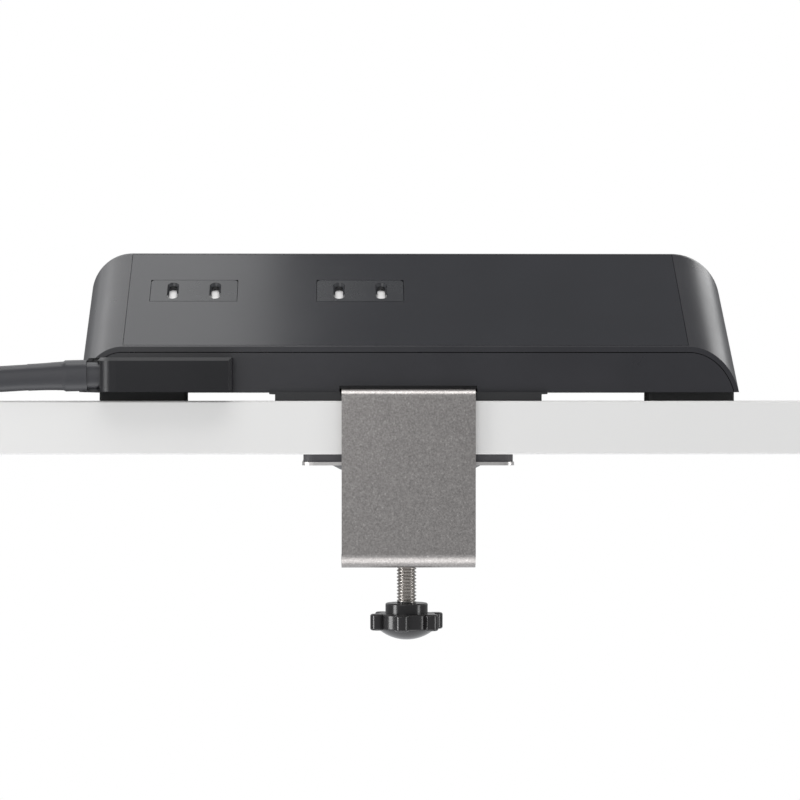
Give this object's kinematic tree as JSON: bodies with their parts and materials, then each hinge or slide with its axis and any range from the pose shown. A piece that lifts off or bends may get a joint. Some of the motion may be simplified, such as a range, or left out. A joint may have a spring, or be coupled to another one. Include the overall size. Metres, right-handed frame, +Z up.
{
  "type": "desk power strip",
  "caption": "Clamp-on desk power strip: wedge-shaped housing with shuttered mains outlets and USB sockets, steel C bracket, clamp screw with lobed knob, and a mains cord.",
  "frame": {"origin": "where the clamp screw's axis meets the plane of the desk top, on the underside of the clamp's upper plate", "axes": "+Z up, +X along the housing, +Y towards the user's side of the desk, so the cord leaves at -X and the bracket's back is at -Y"},
  "size_m": [0.3425, 0.125, 0.1169],
  "materials": {
    "housing_gloss": "satin gloss",
    "panel_gloss": "gloss",
    "insert_plastic": "satin",
    "shutter_plastic": "matte",
    "spring_steel": "bright",
    "inner_plastic": "matte",
    "bus_brass": "plain",
    "foot_rubber": "matte",
    "plated_steel": "zinc plated",
    "bracket_steel": "satin",
    "clamp_plastic": "matte",
    "knob_gloss": "gloss",
    "pad_rubber": "matte",
    "port_steel": "bright",
    "port_plastic": "matte",
    "board": "satin",
    "inner_parts": "satin",
    "cord_vinyl": "satin",
    "tie": "matte",
    "plug_vinyl": "satin",
    "blade_brass": "plated",
    "lead_live": "satin",
    "lead_neutral": "satin"
  },
  "bodies": {
    "strip": {"base_housing": "housing_gloss", "bracket_screws": "plated_steel", "clamp_bracket": "bracket_steel", "clamp_seat_plate": "clamp_plastic", "clinch_nut": "plated_steel", "contact_block_rear_left": "inner_plastic", "contact_block_rear_right": "inner_plastic", "contact_block_user_left": "inner_plastic", "contact_block_user_right": "inner_plastic", "cord_coil": "cord_vinyl", "cord_entry_cover": "housing_gloss", "cord_grommet": "inner_plastic", "cord_run": "cord_vinyl", "cord_tail": "cord_vinyl", "cord_tie": "tie", "foot_rear_left": "foot_rubber", "foot_rear_right": "foot_rubber", "foot_user_left": "foot_rubber", "foot_user_right": "foot_rubber", "live_bus_rear": "bus_brass", "live_bus_user": "bus_brass", "live_lead": "lead_live", "live_link": "lead_live", "neutral_bus_rear": "bus_brass", "neutral_bus_user": "bus_brass", "neutral_lead": "lead_neutral", "neutral_link": "lead_neutral", "outlet_face_rear_left": "insert_plastic", "outlet_face_rear_right": "insert_plastic", "outlet_face_user_left": "insert_plastic", "outlet_face_user_right": "insert_plastic", "plug_blades": "blade_brass", "plug_body": "plug_vinyl", "rear_panel": "panel_gloss", "shell_screws": "plated_steel", "shutter_spring_rear_left": "spring_steel", "shutter_spring_rear_right": "spring_steel", "shutter_spring_user_left": "spring_steel", "shutter_spring_user_right": "spring_steel", "top_shell": "housing_gloss", "usb_board": "board", "usb_capacitors": "inner_parts", "usb_shell_a": "port_steel", "usb_shell_b": "port_steel", "usb_tongue_a": "port_plastic", "usb_tongue_b": "port_plastic", "usb_transformer": "inner_parts", "user_panel": "panel_gloss"},
    "jaw": {"pressure_pad": "pad_rubber", "pressure_plate": "plated_steel", "swivel_dome": "clamp_plastic"},
    "screw": {"clamp_screw": "plated_steel", "retaining_ring": "plated_steel", "clamp_knob": "knob_gloss"},
    "shutter_body_rear_left": {"shutter_rear_left": "shutter_plastic"},
    "shutter_body_rear_right": {"shutter_rear_right": "shutter_plastic"},
    "shutter_body_user_left": {"shutter_user_left": "shutter_plastic"},
    "shutter_body_user_right": {"shutter_user_right": "shutter_plastic"}
  },
  "joints": [
    {"name": "clamp_travel", "type": "slide", "parent": "strip", "child": "jaw", "axis": [0, 0, 1], "range_m": [-0.0165, 0.0105]},
    {"name": "screw_turn", "type": "hinge", "parent": "jaw", "child": "screw", "pos_m": [0, 0, -0.05], "axis": [0, 0, 1], "range_deg": [-5945, 3785]},
    {"name": "shutter_slide_rear_left", "type": "slide", "parent": "strip", "child": "shutter_body_rear_left", "axis": [-1, 0, 0], "range_m": [0, 0.003], "stiffness_N_per_m": 60, "springref_m": -0.002, "deforming": ["shutter_spring_rear_left"]},
    {"name": "shutter_slide_rear_right", "type": "slide", "parent": "strip", "child": "shutter_body_rear_right", "axis": [-1, 0, 0], "range_m": [0, 0.003], "stiffness_N_per_m": 60, "springref_m": -0.002, "deforming": ["shutter_spring_rear_right"]},
    {"name": "shutter_slide_user_left", "type": "slide", "parent": "strip", "child": "shutter_body_user_left", "axis": [1, 0, 0], "range_m": [0, 0.003], "stiffness_N_per_m": 60, "springref_m": -0.002, "deforming": ["shutter_spring_user_left"]},
    {"name": "shutter_slide_user_right", "type": "slide", "parent": "strip", "child": "shutter_body_user_right", "axis": [1, 0, 0], "range_m": [0, 0.003], "stiffness_N_per_m": 60, "springref_m": -0.002, "deforming": ["shutter_spring_user_right"]}
  ],
  "couplings": [
    {"joint": "screw_turn", "follows": "clamp_travel", "rad_per_m": 6283.2}
  ]
}
